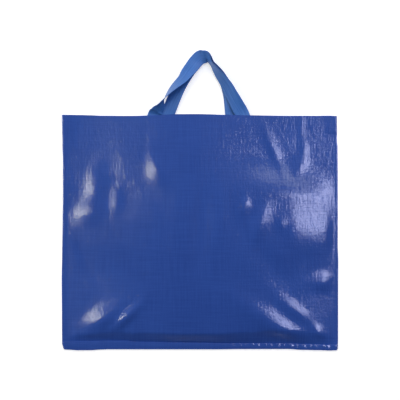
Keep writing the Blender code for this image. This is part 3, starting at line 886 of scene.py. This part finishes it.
def laminated_woven_polypropylene():
    """Flat polypropylene tapes in a plain weave, under a film rolled on hot.

    The film gives a wet gloss, and the tapes under it break each reflection into
    short streaks and specks. The colour is even, a little deeper or paler from
    tape to tape.
    """
    material, tree, shader, cloth = new_material("laminated_woven_polypropylene")
    weave = plain_weave(tree, cloth, TAPE_WIDTH, TAPE_WIDTH)

    wide = {"Scale": 1.0 / SHADE_SIZE, "Detail": 2.0}
    shade = add(tree, "ShaderNodeTexNoise", wide, {"Vector": cloth})
    warp_tint = streaks(tree, cloth, TAPE_WIDTH, TINT_LENGTH)
    weft_tint = streaks(tree, cloth, TINT_LENGTH, TAPE_WIDTH)
    tapes = add(tree, "ShaderNodeMath", ADD, {0: warp_tint, 1: weft_tint})
    total = add(tree, "ShaderNodeMath", ADD, {0: tapes, 1: shade})
    tint = add(tree, "ShaderNodeMath", {"operation": "MULTIPLY", 1: 1.0 / 3.0}, {0: total})
    colour = add(tree, "ShaderNodeValToRGB", links={"Fac": tint})
    set_tones(colour.color_ramp, FILM_TONES)

    creased = {"Scale": 1.0 / CRINKLE_SIZE, "Detail": 2.0, "Roughness": 0.45}
    crinkle = add(tree, "ShaderNodeTexNoise", creased, {"Vector": cloth})
    warp = streaks(tree, cloth, STREAK_WIDTH, STREAK_LENGTH)
    weft = streaks(tree, cloth, STREAK_LENGTH, STREAK_WIDTH)
    smooth = {"Scale": 1.0 / SLACK_SIZE, "Detail": 0.0}
    slack = add(tree, "ShaderNodeTexNoise", smooth, {"Vector": cloth})
    reliefs = (
        (crinkle, CRINKLE_RELIEF),
        (warp, WARP_STREAKS),
        (weft, WEFT_STREAKS),
        (slack, SLACK_RELIEF),
        (weave, TAPE_RELIEF),
    )
    below = {}
    for height, distance in reliefs:
        depth = {"Strength": 1.0, "Distance": distance}
        bump = add(tree, "ShaderNodeBump", depth, {"Height": height, **below})
        below = {"Normal": bump}

    film = {
        "Roughness": 0.45,
        "Specular IOR Level": 0.2,
        "Coat Weight": 1.0,
        "Coat Roughness": 0.05,
        "Coat IOR": 1.5,
    }
    join(tree, shader, film, {"Base Color": colour, "Normal": bump, "Coat Normal": bump})
    return material


def polypropylene_webbing():
    """Webbing of spun polypropylene yarn, woven tight with a rib along it.

    The yarn gives a satin sheen without sharp reflections, and the ribs and the
    weft crossings show as fine lines.
    """
    material, tree, shader, cloth = new_material("polypropylene_webbing")
    weave = plain_weave(tree, cloth, RIB_WIDTH, WEFT_STEP)
    ribs = streaks(tree, cloth, RIB_WIDTH, TINT_LENGTH, 2.0)
    colour = add(tree, "ShaderNodeValToRGB", links={"Fac": ribs})
    set_tones(colour.color_ramp, YARN_TONES)
    depth = {"Strength": 1.0, "Distance": YARN_RELIEF}
    bump = add(tree, "ShaderNodeBump", depth, {"Height": weave})
    yarn = {"Roughness": 0.42, "Specular IOR Level": 0.35}
    join(tree, shader, yarn, {"Base Color": colour, "Normal": bump})
    return material


def white_floor():
    """Matt white floor that looks pure white and still takes the bag's shadow."""
    material = bpy.data.materials.new("white_floor")
    material.use_nodes = True
    tree = material.node_tree
    tree.nodes.remove(tree.nodes["Principled BSDF"])
    white = (FLOOR_WHITE, FLOOR_WHITE, FLOOR_WHITE, 1.0)
    lit = add(tree, "ShaderNodeBsdfDiffuse", {"Color": white})
    rays = add(tree, "ShaderNodeLightPath").outputs
    direct = {0: rays["Is Camera Ray"], 1: rays["Is Glossy Ray"]}
    seen_directly = add(tree, "ShaderNodeMath", MAXIMUM, direct)
    through = {0: seen_directly, 1: rays["Is Transmission Ray"]}
    seen = add(tree, "ShaderNodeMath", MAXIMUM, through)
    glow = add(tree, "ShaderNodeEmission", {"Strength": FLOOR_GLOW})
    dark = add(tree, "ShaderNodeEmission", {"Strength": 0.0})
    shown = add(tree, "ShaderNodeMixShader", links={0: seen, 1: dark, 2: glow})
    both = add(tree, "ShaderNodeAddShader", links={0: lit, 1: shown})
    join(tree, tree.nodes["Material Output"], links={"Surface": both})
    return material


def make_floor():
    """The white floor under the bag."""
    bpy.ops.object.select_all(action="DESELECT")
    bpy.ops.mesh.primitive_plane_add(size=FLOOR_SIZE, location=(0.0, 0.0, 0.0))
    floor = bpy.context.object
    floor.name = "floor"
    floor.data.materials.append(white_floor())


def make_world():
    """Plain light from the handles' side and the left, and a white backdrop low down."""
    world = bpy.data.worlds.new("studio")
    bpy.context.scene.world = world
    world.use_nodes = True
    tree = world.node_tree
    way = add(tree, "ShaderNodeTexCoord").outputs["Generated"]
    apart = add(tree, "ShaderNodeSeparateXYZ", links={0: way}).outputs

    ahead = add(tree, "ShaderNodeMath", {"operation": "MAXIMUM", 1: 0.0}, {0: apart["Y"]})
    towards = add(tree, "ShaderNodeMath", {"operation": "POWER", 1: WORLD_FADE}, {0: ahead})
    levels = {"To Min": WORLD_LOW, "To Max": WORLD_HIGH}
    from_handles = add(tree, "ShaderNodeMapRange", levels, {"Value": towards})

    band = {"interpolation_type": "SMOOTHSTEP", "From Min": SIDE_TOP, "From Max": SIDE_FOOT}
    side_band = add(tree, "ShaderNodeMapRange", band, {"Value": apart["Z"]})
    left = add(tree, "ShaderNodeMath", {"operation": "MULTIPLY", 1: -SIDE_LIGHT}, {0: apart["X"]})
    left = add(tree, "ShaderNodeMath", {"operation": "MAXIMUM", 1: 0.0}, {0: left})
    side = add(tree, "ShaderNodeMath", MULTIPLY, {0: left, 1: side_band})
    studio = add(tree, "ShaderNodeMath", ADD, {0: from_handles, 1: side})

    band = {"interpolation_type": "SMOOTHSTEP", "From Min": BACKDROP_TOP, "From Max": BACKDROP_FOOT}
    low_down = add(tree, "ShaderNodeMapRange", band, {"Value": apart["Z"]})
    rays = add(tree, "ShaderNodeLightPath").outputs
    mirrors = {0: rays["Is Glossy Ray"], 1: rays["Is Transmission Ray"]}
    mirrored = add(tree, "ShaderNodeMath", MAXIMUM, mirrors)
    backdrop = add(tree, "ShaderNodeMath", MULTIPLY, {0: mirrored, 1: low_down})
    seen = {0: rays["Is Camera Ray"], 1: backdrop}
    white = add(tree, "ShaderNodeMath", MAXIMUM, seen)
    full_white = {"data_type": "FLOAT", 3: 1.0}
    strength = add(tree, "ShaderNodeMix", full_white, {0: white, 2: studio})
    background = {"Color": (1.0, 1.0, 1.0, 1.0)}
    join(tree, tree.nodes["Background"], background, {"Strength": strength})


def make_softbox(name, place, size, radiance, colour):
    """A rectangular softbox that faces the bag, with the brightness of its face."""
    lamp = bpy.data.lights.new(name, "AREA")
    lamp.shape = "RECTANGLE"
    lamp.size = size[0]
    lamp.size_y = size[1]
    lamp.energy = radiance * math.pi * size[0] * size[1]
    lamp.color = linear(colour)[:3]
    holder = placed(name, lamp)
    holder.location = place
    holder.rotation_euler = (-Vector(place)).to_track_quat("-Z", "Y").to_euler()


def make_camera():
    """Camera straight above the bag, with the handles at the top of the picture."""
    data = bpy.data.cameras.new("camera")
    data.sensor_width = SENSOR
    data.lens = SENSOR * CAMERA_HEIGHT / VIEW_WIDTH
    camera = placed("camera", data)
    camera.location = (VIEW_MIDDLE[0], VIEW_MIDDLE[1], CAMERA_HEIGHT)
    bpy.context.scene.camera = camera


def lift_into_frame(piece):
    """Moves a piece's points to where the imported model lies, and shades it smooth."""
    for vert in piece.data.vertices:
        vert.co.y += BOTTOM_Y
    piece.data.shade_smooth()
    piece.data.set_sharp_from_angle(angle=math.radians(CREASE_ANGLE))


def main():
    """Builds the bag and its studio, and hides the imported pieces that the new ones stand in for.
    """
    view = bpy.context.scene.view_settings
    view.view_transform = "Standard"
    make_camera()
    film = laminated_woven_polypropylene()
    webbing = polypropylene_webbing()

    bag = make_bag(film)
    back = back_strap_keys()
    back_handle, back_length = make_webbing("back_handle", back, webbing)
    front_handle, front_length = make_webbing("front_handle", front_strap_keys(back), webbing)
    for piece in (bag, back_handle, front_handle):
        lift_into_frame(piece)
        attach(piece, "root")
    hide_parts("bag_body")
    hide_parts("back_strap")
    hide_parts("front_strap")

    make_floor()
    make_world()
    for softbox in SOFTBOXES:
        make_softbox(*softbox)


main()
